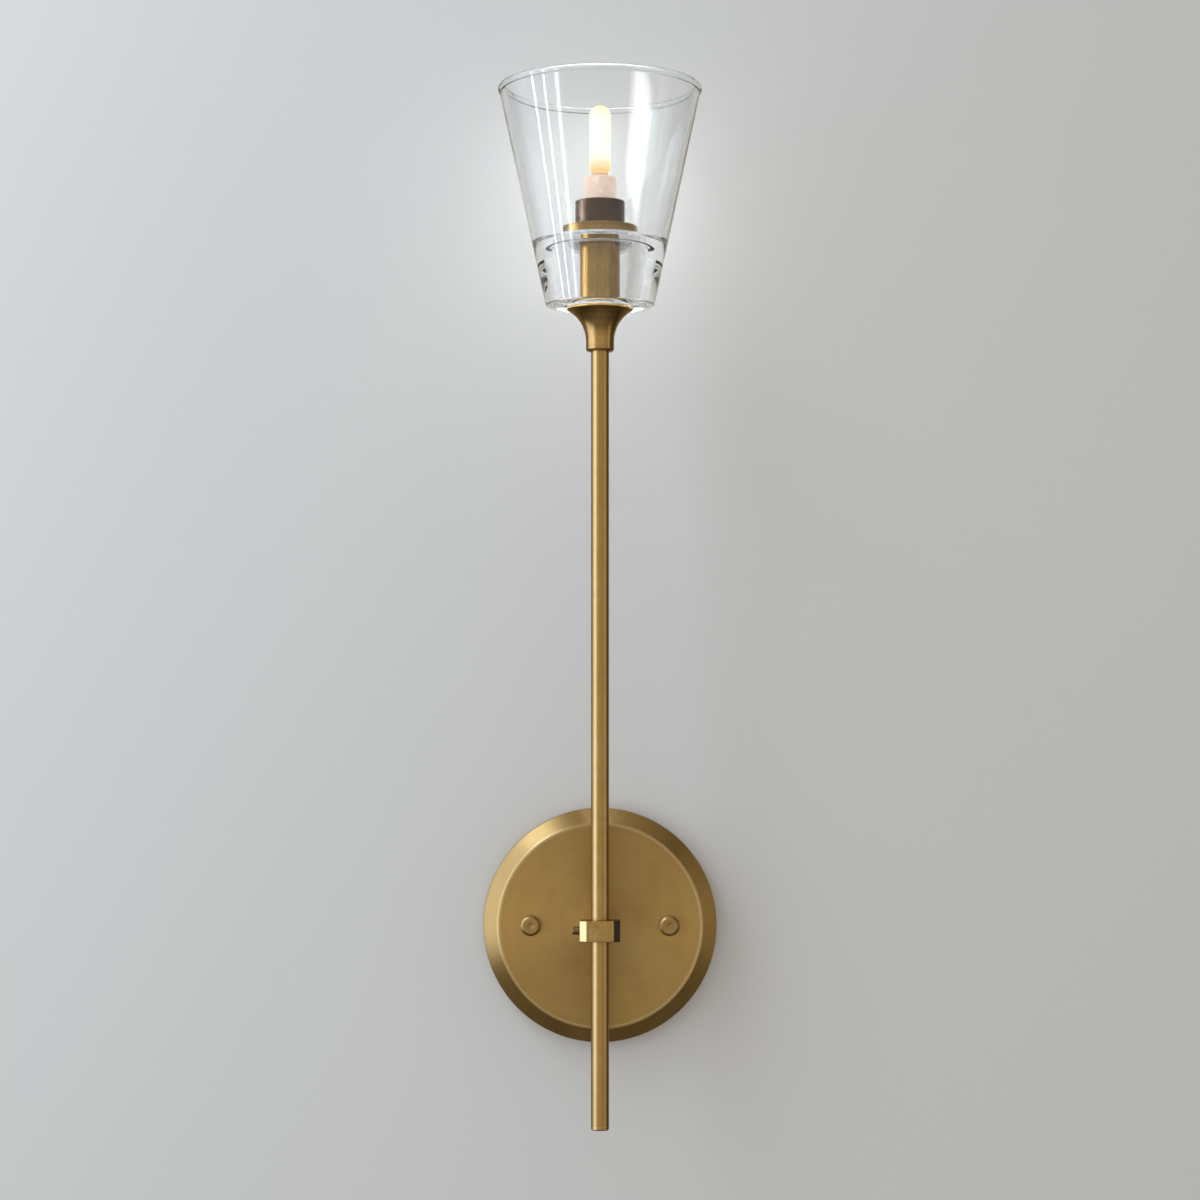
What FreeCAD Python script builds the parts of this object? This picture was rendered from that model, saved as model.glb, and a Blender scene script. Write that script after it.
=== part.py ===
import FreeCAD, Part
import math
import os

# Torch sconce. Millimetres, +Z up, front towards -Y, wall plane at y = 0.
# The origin is on the wall, at the centre of the round wall plate, level with the arm.
# Heights of everything on the rod are measured from the arm's axis.

V = FreeCAD.Vector
ORIGIN = V(0, 0, 0)
RIGHT = V(1, 0, 0)
BACK = V(0, 1, 0)
UP = V(0, 0, 1)

# ---- how closely two lengths count as the same ----
same = 1e-4
shell_tolerance = 1e-3

# ---- clearances ----
seat_fit = 0.04          # radial play of pieces of one body that are screwed or pushed together
turn_fit = 0.05          # radial play of a screw or nut that turns
lift_fit = 0.3           # radial play of a piece that lifts off over another
rest_gap = 0.1           # end play under a turning head

# ---- wall plate ----
plate_radius = 75.0
plate_face_radius = 65.5
plate_depth = 18.0
plate_sheet = 1.6
plate_edge = 8.5         # straight border that stands on the wall: leaves a 45 degree bevel
plate_face_round = 1.6
plate_edge_round = 1.2

# ---- strap on the wall box ----
strap_sheet = 2.0
strap_width = 20.0
strap_half_length = 54.0
strap_corner = 4.0
strap_centre_hole = 8.0
box_screw_pitch = 79.4   # between slot centres: takes 70 to 89 mm boxes
box_slot_length = 14.8
box_slot_width = 5.2
stud_pitch = 88.9
stud_radius = 2.1
stud_nut_flats = 8.0
stud_nut_height = 3.0

# ---- cap nuts ----
cap_radius = 6.5
cap_height = 4.2
cap_bevel = 1.6
cap_round = 1.0
cap_dimple_radius = 2.6
cap_dimple_depth = 0.6
cap_thread_depth = 3.0

# ---- arm ----
rod_standoff = 72.0      # rod axis from the wall
arm_radius = 5.5
arm_bore_radius = 2.6
arm_thread_radius = 4.0
arm_front_thread = 5.0
washer_radius = 8.5
washer_thickness = 1.0
lug_radius = 7.0
lug_thickness = 0.8
nut_flats = 13.0
nut_height = 4.0
nut_spare_thread = 1.0

# ---- clamp block and its screw ----
block_width = 25.0
block_depth = 25.0
block_height = 13.0
block_chamfer = 4.1
block_round = 0.5
clamp_shank_radius = 1.6
clamp_head_radius = 2.5
clamp_head_length = 4.6
clamp_slot_width = 0.8
clamp_slot_depth = 1.2

# ---- rod ----
rod_radius = 5.6
rod_bore_radius = 4.0
rod_below_arm = 123.0    # to the end plug's lower face
rod_wire_hole_radius = 3.0
plug_head = 2.0
plug_chamfer = 0.6
plug_spigot = 8.0

# ---- flared cup on the rod's top ----
cup_base = 362.4         # cup's lower edge above the arm
cup_height = 27.7
cup_neck_radius = 8.8
cup_neck_height = 6.0
cup_flange_radius = 20.8
cup_flange_edge = 1.5
cup_rod_socket = 12.0
cup_tube_socket = 6.1
cup_foot_chamfer = 0.9
cup_lip_chamfer = 0.4

# ---- nipple and nut between rod, cup and socket tube ----
nipple_bore_radius = 2.6
nipple_in_rod = 10.0

# ---- socket tube ----
tube_radius = 12.6
tube_wall = 1.2
tube_floor = 2.0

# ---- glass shade ----
glass_height = 140.0
glass_bottom_radius = 34.1
glass_top_radius = 63.7  # cone at the lip's middle
glass_wall = 3.7         # measured level
glass_lip_radius = 2.5
glass_base = 39.4        # thickness of the solid base
glass_bore_bottom = 17.2
glass_bore_top = 20.5
glass_foot_round = 1.2
glass_ledge_round = 0.8
glass_inner_round = 3.0
lower_gasket_thickness = 1.0
lower_gasket_margin = 0.5
upper_gasket_thickness = 5.0
upper_gasket_margin = 0.4

# ---- retaining ring ----
ring_radius = 23.5
ring_thickness = 5.7
ring_round = 0.6

# ---- lampholder ----
sleeve_radius = 15.6
sleeve_height = 21.8
sleeve_lip = 5.3
sleeve_round = 0.5
ceramic_radius = 10.4
ceramic_rise = 15.3      # above the sleeve
ceramic_flange_radius = 12.3
ceramic_flange_height = 8.0
ceramic_boss_radius = 9.5
ceramic_boss_height = 8.0
ceramic_round = 1.2

# ---- plug-in lamp ----
lamp_radius = 6.85
lamp_glass = 0.8
lamp_length = 42.7       # frosted capsule
lamp_gap = 3.3           # capsule above the ceramic
lamp_foot_round = 2.2
pinch_width = 10.0
pinch_thickness = 3.6
pinch_depth = 13.6       # below the ceramic's top
pinch_round = 0.8
pin_spacing = 6.0
pin_length = 7.0
pin_wire_radius = 0.4
pin_loop_radius = 0.8
contact_sheet = 0.4
contact_play = 0.15
contact_hole_margin = 0.3
filament_wire_radius = 0.3
filament_half_width = 2.2
filament_height = 27.0

# ---- wiring ----
lead_radius = 0.9
lead_half_spacing = 1.05
lead_bend = 5.0
lead_turn = 8.0          # bend from the rod into the arm
lead_spread_bend = 12.0
lead_drop = 10.0         # below the arm, before the leads part
terminal_width = 18.0
terminal_height = 12.0
terminal_depth = 9.0
terminal_below_arm = 17.0
terminal_pitch = 8.0
terminal_round = 1.0
terminal_entry = 4.0
terminal_screw_radius = 1.5
terminal_screw_head = 0.8
terminal_slot = 0.4      # width and depth
terminal_screw_inset = 3.0
ground_screw_x = 24.0
ground_screw_radius = 1.8
ground_head_radius = 3.2
ground_head_height = 2.2
ground_head_round = 0.7
ground_slot_depth = 1.1
ground_lug_radius = 3.4
ground_tab_width = 3.0
ground_tab_length = 4.0
ground_bend = 5.4
ground_overlap = 1.0     # of the wire on an eye's tab

# ---- heights above the arm, from the bottom up ----
cup_top = cup_base + cup_height
rod_top = cup_base + cup_rod_socket
tube_foot = cup_top - cup_tube_socket
glass_foot = cup_top + lower_gasket_thickness
glass_ledge = glass_foot + glass_base
glass_lip_height = glass_foot + glass_height - glass_lip_radius
ring_foot = glass_ledge + upper_gasket_thickness
sleeve_top = ring_foot + sleeve_height
flange_top = sleeve_top - sleeve_lip
flange_foot = flange_top - ceramic_flange_height
ceramic_top = sleeve_top + ceramic_rise
ceramic_foot = flange_foot - ceramic_boss_height
pinch_foot = ceramic_top - pinch_depth
pocket_floor = pinch_foot - lift_fit
pin_foot = pinch_foot - pin_length
contact_foot = pin_foot - contact_sheet - lift_fit
lamp_foot = ceramic_top + lamp_gap
glass_slope = (glass_top_radius - glass_bottom_radius) / (glass_lip_height - glass_foot)

# ---- depths from the wall, towards the front ----
plate_inside = plate_depth - plate_sheet
washer_front = plate_inside
lug_front = washer_front - washer_thickness
nut_front = lug_front - lug_thickness
arm_back = nut_front - nut_height - nut_spare_thread
block_back = rod_standoff - block_depth / 2
stud_tip = plate_depth + cap_thread_depth - rest_gap


# ---- helpers ----
def outline(start, *steps):
    """Closed face in the XZ plane from (radius, height) points.
    A step is the next corner, or a pair: a point that an arc passes and the arc's end."""
    edges = []
    here = V(start[0], 0, start[1])
    for step in list(steps) + [start]:
        if isinstance(step[0], tuple):
            passing = V(step[0][0], 0, step[0][1])
            there = V(step[1][0], 0, step[1][1])
            edges.append(Part.Arc(here, passing, there).toShape())
        else:
            there = V(step[0], 0, step[1])
            edges.append(Part.makeLine(here, there))
        here = there
    return Part.Face(Part.Wire(edges))


def turned(start, *steps):
    """Solid of revolution about +Z from an outline of (radius, height) points."""
    return outline(start, *steps).revolve(ORIGIN, UP, 360)


def ring(outer, inner, low, high):
    """Washer or tube about +Z."""
    return turned((inner, low), (outer, low), (outer, high), (inner, high))


def disc(radius, low, high):
    return Part.makeCylinder(radius, high - low, V(0, 0, low))


def hexagon(flats, bore, low, high):
    """Hexagon nut about +Z."""
    corner = flats / 2 / math.cos(math.pi / 6)
    turns = [math.pi / 3 * k for k in range(7)]
    points = [V(corner * math.cos(a), corner * math.sin(a), low) for a in turns]
    prism = Part.Face(Part.makePolygon(points)).extrude(V(0, 0, high - low))
    return prism.cut(disc(bore, low, high))


def block(x_size, y_size, z_size, x=0.0, y=0.0, z=0.0):
    """Box centred on x and y, standing on z."""
    return Part.makeBox(x_size, y_size, z_size, V(x - x_size / 2, y - y_size / 2, z))


def circles(shape, radius, height):
    """Circular edges about +Z with this radius at this height."""
    found = []
    for edge in shape.Edges:
        if edge.Degenerated or not isinstance(edge.Curve, Part.Circle):
            continue
        if abs(edge.Curve.Radius - radius) < same and abs(edge.Curve.Center.z - height) < same:
            found.append(edge)
    return found


def runs_along(edge, way):
    """True for a straight edge that is parallel to the way."""
    return 1 - abs(edge.tangentAt(edge.FirstParameter).dot(way)) < same


def on_rod(shape):
    """Move a piece made about the origin's +Z onto the rod's axis."""
    return shape.translate(V(0, -rod_standoff, 0))


def to_front(shape, x=0.0, z=0.0):
    """Turn a piece so that its height runs from the wall towards the front."""
    shape.rotate(ORIGIN, RIGHT, 90)
    return shape.translate(V(x, 0, z))


def to_left(shape):
    """Turn a piece so that its height runs towards the left, through the rod's axis."""
    shape.rotate(ORIGIN, BACK, -90)
    return on_rod(shape)


def bar(x_half, z_half, corner):
    """Flat strip of strap sheet on the wall, with rounded corners."""
    strip = Part.makeBox(2 * x_half, strap_sheet, 2 * z_half, V(-x_half, -strap_sheet, -z_half))
    upright = [e for e in strip.Edges if runs_along(e, BACK)]
    return strip.makeFillet(corner, upright)


def slot(z):
    """Cutter for an upright slot through the strap."""
    run = (box_slot_length - box_slot_width) / 2
    sides = Part.makeBox(box_slot_width, strap_sheet, 2 * run,
                         V(-box_slot_width / 2, -strap_sheet, z - run))
    for end in (z - run, z + run):
        sides = sides.fuse(to_front(disc(box_slot_width / 2, 0, strap_sheet), 0, end))
    return sides.removeSplitter()


def lead(points, bends):
    """Insulated wire: straight runs joined by tangent arcs, one bend per inner point."""
    edges = []
    here = points[0]
    for before, corner, after, bend in zip(points, points[1:], points[2:], bends):
        inward = (corner - before).normalize()
        onward = (after - corner).normalize()
        half_turn = inward.getAngle(onward) / 2
        reach = bend * math.tan(half_turn)
        first = corner - inward * reach
        last = corner + onward * reach
        inside = (onward - inward).normalize()
        middle = corner + inside * (bend / math.cos(half_turn) - bend)
        edges.append(Part.makeLine(here, first))
        edges.append(Part.Arc(first, middle, last).toShape())
        here = last
    edges.append(Part.makeLine(here, points[-1]))
    path = Part.Wire(edges)
    section = Part.Wire(Part.makeCircle(lead_radius, points[0], points[1] - points[0]))
    tube = path.makePipeShell([section], True, False)
    expected = math.pi * lead_radius ** 2 * path.Length
    ratio = tube.Volume / expected
    print("lead length %.1f, volume ratio %.4f, bends %s" % (path.Length, ratio, bends))
    return tube


# ---- wall side ----
def mounting_strap():
    """Steel cross: upright arms with slots for the box screws, level arms with the studs."""
    cross = bar(strap_half_length, strap_width / 2, strap_corner)
    cross = cross.fuse(bar(strap_width / 2, strap_half_length, strap_corner)).removeSplitter()
    cross = cross.cut(to_front(disc(strap_centre_hole, 0, strap_sheet)))
    for side in (-1, 1):
        cross = cross.cut(slot(side * box_screw_pitch / 2))
        hole = disc(stud_radius + seat_fit, 0, strap_sheet)
        cross = cross.cut(to_front(hole, side * stud_pitch / 2))
    tapped = disc(ground_screw_radius + seat_fit, 0, strap_sheet)
    return cross.cut(to_front(tapped, ground_screw_x))


def canopy_studs():
    """Two threaded studs from the strap to the cap nuts."""
    studs = [to_front(disc(stud_radius, 0, stud_tip), side * stud_pitch / 2) for side in (-1, 1)]
    return Part.makeCompound(studs)


def stud_nuts():
    """Hexagon nuts that lock the studs on the strap."""
    nuts = []
    for side in (-1, 1):
        nut = hexagon(stud_nut_flats, stud_radius + seat_fit, strap_sheet, strap_sheet + stud_nut_height)
        nuts.append(to_front(nut, side * stud_pitch / 2))
    return Part.makeCompound(nuts)


def backplate():
    """Spun brass dish, open at the wall, with a bevelled border and three holes."""
    dish = turned((0, 0), (plate_radius, 0), (plate_radius, plate_edge),
                  (plate_face_radius, plate_depth), (0, plate_depth))
    open_side = [f for f in dish.Faces if abs(f.CenterOfMass.z) < same and f.BoundBox.ZLength < same]
    dish = dish.makeThickness(open_side, -plate_sheet, shell_tolerance)
    dish = dish.makeFillet(plate_face_round, circles(dish, plate_face_radius, plate_depth))
    dish = dish.makeFillet(plate_edge_round, circles(dish, plate_radius, plate_edge))
    dish = dish.cut(disc(arm_thread_radius + seat_fit, 0, plate_depth))
    for side in (-1, 1):
        hole = disc(stud_radius + lift_fit, 0, plate_depth)
        dish = dish.cut(hole.translate(V(side * stud_pitch / 2, 0, 0)))
    return to_front(dish)


def cap_nut(side):
    """Low round nut with a softened border and a dimple, blind on its stud."""
    foot = plate_depth + rest_gap
    top = foot + cap_height
    nut = turned((0, foot), (cap_radius, foot), (cap_radius, top - cap_bevel),
                 (cap_radius - cap_bevel, top), (cap_dimple_radius, top), (0, top - cap_dimple_depth))
    nut = nut.makeFillet(cap_round, circles(nut, cap_radius, top - cap_bevel))
    thread = disc(stud_radius + turn_fit, foot, foot + cap_thread_depth)
    return to_front(nut.cut(thread), side * stud_pitch / 2)


def arm_tube():
    """Turned hollow arm: reduced and threaded at the plate and at the block."""
    front = block_back + arm_front_thread
    arm = turned((arm_bore_radius, arm_back), (arm_thread_radius, arm_back),
                 (arm_thread_radius, plate_depth), (arm_radius, plate_depth),
                 (arm_radius, block_back), (arm_thread_radius, block_back),
                 (arm_thread_radius, front), (arm_bore_radius, front))
    return to_front(arm)


def arm_washer():
    return to_front(ring(washer_radius, arm_thread_radius + seat_fit,
                         washer_front - washer_thickness, washer_front))


def arm_lock_nut():
    return to_front(hexagon(nut_flats, arm_thread_radius + seat_fit,
                            nut_front - nut_height, nut_front))


def ground_screw():
    """Screw in the strap that clamps the earth lead's small eye."""
    head_foot = strap_sheet + lug_thickness
    shank = disc(ground_screw_radius, 0, head_foot)
    head = disc(ground_head_radius, head_foot, head_foot + ground_head_height)
    top = head_foot + ground_head_height
    head = head.makeFillet(ground_head_round, circles(head, ground_head_radius, top))
    cross = block(2 * ground_head_radius, clamp_slot_width, ground_slot_depth, 0, 0,
                  top - ground_slot_depth)
    return to_front(shank.fuse(head).cut(cross).removeSplitter(), ground_screw_x)


def ground_lead():
    """Earth lead: an eye under the arm's nut, one turn of wire, an eye under the screw."""
    arm_eye = disc(lug_radius, lug_front - lug_thickness, lug_front)
    arm_tab = block(lug_radius + ground_tab_length, ground_tab_width, lug_thickness,
                    (lug_radius + ground_tab_length) / 2, 0, lug_front - lug_thickness)
    arm_eye = arm_eye.fuse(arm_tab).cut(disc(arm_thread_radius + seat_fit, 0, plate_depth))
    screw_eye = disc(ground_lug_radius, strap_sheet, strap_sheet + lug_thickness)
    screw_tab = block(ground_lug_radius + ground_tab_length, ground_tab_width, lug_thickness,
                      (ground_lug_radius + ground_tab_length) / 2, 0, strap_sheet)
    screw_eye = screw_eye.fuse(screw_tab).cut(disc(ground_screw_radius + seat_fit, 0, plate_depth))
    start = V(lug_radius + ground_tab_length - ground_overlap, lead_radius - lug_front, 0)
    tab_end = ground_screw_x + ground_lug_radius + ground_tab_length
    turn_x = tab_end + ground_bend
    finish = V(tab_end - ground_overlap, -strap_sheet - lead_radius, 0)
    wire = lead([start, V(turn_x, start.y, 0), V(turn_x, finish.y, 0), finish],
                [ground_bend, ground_bend])
    eyes = to_front(arm_eye).fuse(to_front(screw_eye, ground_screw_x))
    return wire.fuse(eyes)


def terminal_block():
    """Two-way terminal block on the strap's lower arm, with wire entries above and below."""
    top = -terminal_below_arm
    body = Part.makeBox(terminal_width, terminal_depth, terminal_height,
                        V(-terminal_width / 2, -strap_sheet - terminal_depth, top - terminal_height))
    front = [e for e in body.Edges if e.BoundBox.YMax < -strap_sheet - terminal_depth / 2]
    body = body.makeFillet(terminal_round, front)
    middle = -strap_sheet - terminal_depth / 2
    for side in (-1, 1):
        x = side * terminal_pitch / 2
        for z in (top - terminal_entry, top - terminal_height):
            entry = Part.makeCylinder(lead_radius + lift_fit, terminal_entry, V(x, middle, z))
            body = body.cut(entry)
    return body


def terminal_screws():
    """Four slotted clamp screws, two to a way."""
    front = strap_sheet + terminal_depth
    top = -terminal_below_arm
    screws = []
    for side in (-1, 1):
        for z in (top - terminal_screw_inset, top - terminal_height + terminal_screw_inset):
            head = disc(terminal_screw_radius, front, front + terminal_screw_head)
            cross = block(2 * terminal_screw_radius, terminal_slot, terminal_slot,
                          0, 0, front + terminal_screw_head - terminal_slot)
            screws.append(to_front(head.cut(cross), side * terminal_pitch / 2, z))
    return Part.makeCompound(screws)


# ---- block, screw and rod ----
def clamp_block():
    """Chamfered block: the rod passes upright, the arm screws in behind, the screw at the left."""
    low = -block_height / 2
    body = block(block_width, block_depth, block_height, 0, 0, low)
    upright = [e for e in body.Edges if runs_along(e, UP)]
    body = body.makeChamfer(block_chamfer, upright)
    rims = [e for e in body.Edges if not runs_along(e, UP)]
    body = body.makeFillet(block_round, rims)
    body = body.cut(disc(rod_radius + seat_fit, low, -low))
    arm_hole = disc(arm_thread_radius + seat_fit, 0, block_depth / 2)
    arm_hole.rotate(ORIGIN, RIGHT, -90)
    screw_hole = disc(clamp_shank_radius + turn_fit, 0, block_width / 2)
    screw_hole.rotate(ORIGIN, BACK, -90)
    return on_rod(body.cut(arm_hole).cut(screw_hole))


def clamp_screw():
    """Small headed screw that holds the rod in the block."""
    head_foot = block_width / 2 + rest_gap
    top = head_foot + clamp_head_length
    screw = turned((0, rod_radius + rest_gap), (clamp_shank_radius, rod_radius + rest_gap),
                   (clamp_shank_radius, head_foot), (clamp_head_radius, head_foot),
                   (clamp_head_radius, top - block_round), (clamp_head_radius - block_round, top),
                   (0, top))
    cross = block(2 * clamp_head_radius, clamp_slot_width, clamp_slot_depth,
                  0, 0, top - clamp_slot_depth)
    return to_left(screw.cut(cross))


def rod_tube():
    """Long round tube with a side hole where the leads turn into the arm."""
    tube = ring(rod_radius, rod_bore_radius, plug_head - rod_below_arm, rod_top)
    side_hole = disc(rod_wire_hole_radius, 0, 2 * rod_radius)
    side_hole.rotate(ORIGIN, RIGHT, -90)
    return on_rod(tube.cut(side_hole))


def rod_end_plug():
    """Turned plug: chamfered head flush with the rod, spigot in its bore."""
    foot = -rod_below_arm
    spigot = rod_bore_radius - seat_fit
    return on_rod(turned((0, foot), (rod_radius - plug_chamfer, foot), (rod_radius, foot + plug_chamfer),
                         (rod_radius, foot + plug_head), (spigot, foot + plug_head),
                         (spigot, foot + plug_head + plug_spigot), (0, foot + plug_head + plug_spigot)))


def rod_nipple():
    """Hollow threaded nipple that ties rod, cup and socket tube together."""
    top = tube_foot + tube_floor + nut_height + nut_spare_thread
    return on_rod(ring(rod_bore_radius - seat_fit, nipple_bore_radius, rod_top - nipple_in_rod, top))


# ---- cup, socket tube and glass ----
def trumpet_cup():
    """Turned neck that flares in one arc to the flange under the glass."""
    neck_top = cup_base + cup_neck_height
    flange_foot_height = cup_top - cup_flange_edge
    spread = cup_flange_radius - cup_neck_radius
    rise = flange_foot_height - neck_top
    flare = (spread ** 2 + rise ** 2) / (2 * spread)
    half_turn = math.asin(rise / flare) / 2
    passing = (cup_neck_radius + flare * (1 - math.cos(half_turn)),
               neck_top + flare * math.sin(half_turn))
    rod_hole = rod_radius + seat_fit
    nipple_hole = rod_bore_radius
    tube_hole = tube_radius + seat_fit
    return on_rod(turned((rod_hole, cup_base), (cup_neck_radius - cup_foot_chamfer, cup_base),
                         (cup_neck_radius, cup_base + cup_foot_chamfer), (cup_neck_radius, neck_top),
                         (passing, (cup_flange_radius, flange_foot_height)),
                         (cup_flange_radius, cup_top - cup_lip_chamfer),
                         (cup_flange_radius - cup_lip_chamfer, cup_top), (tube_hole, cup_top),
                         (tube_hole, tube_foot), (nipple_hole, tube_foot),
                         (nipple_hole, rod_top), (rod_hole, rod_top)))


def socket_tube():
    """Brass tube with a floor, standing in the cup and through the glass base."""
    inside = tube_radius - tube_wall
    hole = rod_bore_radius
    return on_rod(turned((hole, tube_foot), (tube_radius, tube_foot), (tube_radius, flange_foot),
                         (inside, flange_foot), (inside, tube_foot + tube_floor),
                         (hole, tube_foot + tube_floor)))


def socket_lock_nut():
    low = tube_foot + tube_floor
    return on_rod(hexagon(nut_flats, rod_bore_radius, low, low + nut_height))


def lower_gasket():
    outer = cup_flange_radius - lower_gasket_margin
    return on_rod(ring(outer, tube_radius + lift_fit, cup_top, glass_foot))


def glass_shade():
    """Pressed cone: rounded lip, thin wall, thick base with a tapered bore."""
    def outer(z):
        return glass_bottom_radius + glass_slope * (z - glass_foot)

    inner_foot = outer(glass_ledge) - glass_wall
    inner_lip = glass_top_radius - glass_wall
    body = turned((glass_bore_bottom, glass_foot), (glass_bottom_radius, glass_foot),
                  (glass_top_radius, glass_lip_height), (inner_lip, glass_lip_height),
                  (inner_foot, glass_ledge), (glass_bore_top, glass_ledge))
    body = body.makeFillet(glass_foot_round, circles(body, glass_bottom_radius, glass_foot))
    body = body.makeFillet(glass_inner_round, circles(body, inner_foot, glass_ledge))
    body = body.makeFillet(glass_ledge_round, circles(body, glass_bore_top, glass_ledge))
    lip_middle = glass_top_radius - glass_wall / 2
    lip = Part.makeTorus(lip_middle, glass_lip_radius, V(0, 0, glass_lip_height))
    return on_rod(body.fuse(lip).removeSplitter())


def upper_gasket():
    outer = ring_radius - upper_gasket_margin
    return on_rod(ring(outer, sleeve_radius + lift_fit, glass_ledge, ring_foot))


def retaining_ring():
    """Brass disc over the glass base, screwed on the sleeve."""
    top = ring_foot + ring_thickness
    body = ring(ring_radius, sleeve_radius + lift_fit, ring_foot, top)
    rims = circles(body, ring_radius, ring_foot) + circles(body, ring_radius, top)
    return on_rod(body.makeFillet(ring_round, rims))


# ---- lampholder ----
def lampholder_sleeve():
    """Dark sleeve screwed over the tube's top: its lip holds the ceramic's flange down."""
    body = turned((tube_radius + seat_fit, ring_foot), (sleeve_radius, ring_foot),
                  (sleeve_radius, sleeve_top), (ceramic_radius + seat_fit, sleeve_top),
                  (ceramic_radius + seat_fit, flange_top), (tube_radius + seat_fit, flange_top))
    return on_rod(body.makeFillet(sleeve_round, circles(body, sleeve_radius, sleeve_top)))


def contact_hole(side, margin):
    """Pocket round one contact, wider than the contact by the margin."""
    x_size = 2 * (pin_loop_radius + pin_wire_radius) + 2 * margin
    y_size = 2 * (pin_wire_radius + contact_play + contact_sheet) + 2 * margin
    return block(x_size, y_size, pinch_foot - contact_foot, side * pin_spacing / 2, 0, contact_foot)


def ceramic_lampholder():
    """Pale ceramic insert: round head, flange, boss, pocket for the lamp's pinch."""
    body = turned((0, ceramic_foot), (ceramic_boss_radius, ceramic_foot),
                  (ceramic_boss_radius, flange_foot), (ceramic_flange_radius, flange_foot),
                  (ceramic_flange_radius, flange_top), (ceramic_radius, flange_top),
                  (ceramic_radius, ceramic_top), (0, ceramic_top))
    body = body.makeFillet(ceramic_round, circles(body, ceramic_radius, ceramic_top))
    pocket = block(pinch_width + 2 * lift_fit, pinch_thickness + 2 * lift_fit,
                   ceramic_top - pocket_floor, 0, 0, pocket_floor)
    body = body.cut(pocket)
    for side in (-1, 1):
        wire_way = disc(lead_radius + lift_fit, ceramic_foot, contact_foot)
        body = body.cut(contact_hole(side, contact_hole_margin))
        body = body.cut(wire_way.translate(V(side * pin_spacing / 2, 0, 0)))
    return on_rod(body)


def lampholder_contacts():
    """Two folded spring contacts, one round each pin."""
    contacts = []
    for side in (-1, 1):
        x_size = 2 * (pin_loop_radius + pin_wire_radius)
        gap = 2 * (pin_wire_radius + contact_play)
        height = pocket_floor - contact_foot
        outside = block(x_size, gap + 2 * contact_sheet, height, 0, 0, contact_foot)
        inside = block(x_size, gap, height, 0, 0, contact_foot + contact_sheet)
        contact = outside.cut(inside)
        contacts.append(on_rod(contact.translate(V(side * pin_spacing / 2, 0, 0))))
    return Part.makeCompound(contacts)


# ---- lamp ----
def lamp_envelope():
    """Frosted capsule with a domed top and a rounded foot, hollow."""
    def capsule(radius, foot, rounding):
        dome_foot = lamp_foot + lamp_length - lamp_radius
        shoulder = radius * math.sin(math.pi / 4)
        body = turned((0, foot), (radius, foot), (radius, dome_foot),
                      ((shoulder, dome_foot + shoulder), (0, dome_foot + radius)))
        return body.makeFillet(rounding, circles(body, radius, foot))

    outside = capsule(lamp_radius, lamp_foot, lamp_foot_round)
    room = capsule(lamp_radius - lamp_glass, lamp_foot + lamp_glass, lamp_foot_round - lamp_glass)
    return on_rod(outside.cut(room))


def lamp_base():
    """Flat pinch under the capsule that plugs into the ceramic."""
    pinch = block(pinch_width, pinch_thickness, lamp_foot - pinch_foot, 0, 0, pinch_foot)
    upright = [e for e in pinch.Edges if runs_along(e, UP)]
    return on_rod(pinch.makeFillet(pinch_round, upright))


def lamp_pins():
    """Two pins of looped wire."""
    pins = []
    for side in (-1, 1):
        x = side * pin_spacing / 2
        bend_height = pin_foot + pin_loop_radius + pin_wire_radius
        loop = Part.makeTorus(pin_loop_radius, pin_wire_radius, V(x, 0, bend_height), BACK)
        below = block(4 * pin_loop_radius, 4 * pin_wire_radius, 2 * pin_loop_radius, x, 0,
                      bend_height - 2 * pin_loop_radius)
        pin = loop.common(below)
        for leg in (-1, 1):
            wire = Part.makeCylinder(pin_wire_radius, pinch_foot - bend_height,
                                     V(x + leg * pin_loop_radius, 0, bend_height))
            pin = pin.fuse(wire)
        pins.append(on_rod(pin.removeSplitter()))
    return Part.makeCompound(pins)


def lamp_filament():
    """Two support wires and the glowing wire between them, sealed in the capsule."""
    foot = lamp_foot + lamp_glass
    bend_height = foot + filament_height
    arch = Part.makeTorus(filament_half_width, filament_wire_radius, V(0, 0, bend_height), BACK)
    wire = arch.common(block(4 * filament_half_width, 4 * filament_wire_radius,
                             2 * filament_half_width, 0, 0, bend_height))
    for side in (-1, 1):
        wire = wire.fuse(disc(filament_wire_radius, foot, bend_height)
                         .translate(V(side * filament_half_width, 0, 0)))
    return on_rod(wire.removeSplitter())


# ---- leads ----
def lamp_lead(side):
    """One insulated lead: contact, nipple, rod, arm, then down to the terminal block."""
    pin_x = side * pin_spacing / 2
    x = side * lead_half_spacing
    terminal_x = side * terminal_pitch / 2
    rod_y = -rod_standoff
    cavity_y = -(arm_back - lead_bend)
    entry_y = -strap_sheet - terminal_depth / 2
    nipple_top = tube_foot + tube_floor + nut_height + nut_spare_thread
    points = [V(pin_x, rod_y, contact_foot), V(pin_x, rod_y, ceramic_foot - lead_bend),
              V(x, rod_y, nipple_top + lead_bend), V(x, rod_y, 0), V(x, cavity_y, 0),
              V(x, cavity_y, -lead_drop), V(terminal_x, entry_y, -terminal_below_arm + lead_radius),
              V(terminal_x, entry_y, -terminal_below_arm - terminal_entry + lift_fit)]
    bends = [lead_spread_bend, lead_spread_bend, lead_turn, lead_bend, lead_bend, lead_bend]
    return lead(points, bends)


def live_lead():
    return lamp_lead(-1)


def neutral_lead():
    return lamp_lead(1)


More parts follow.
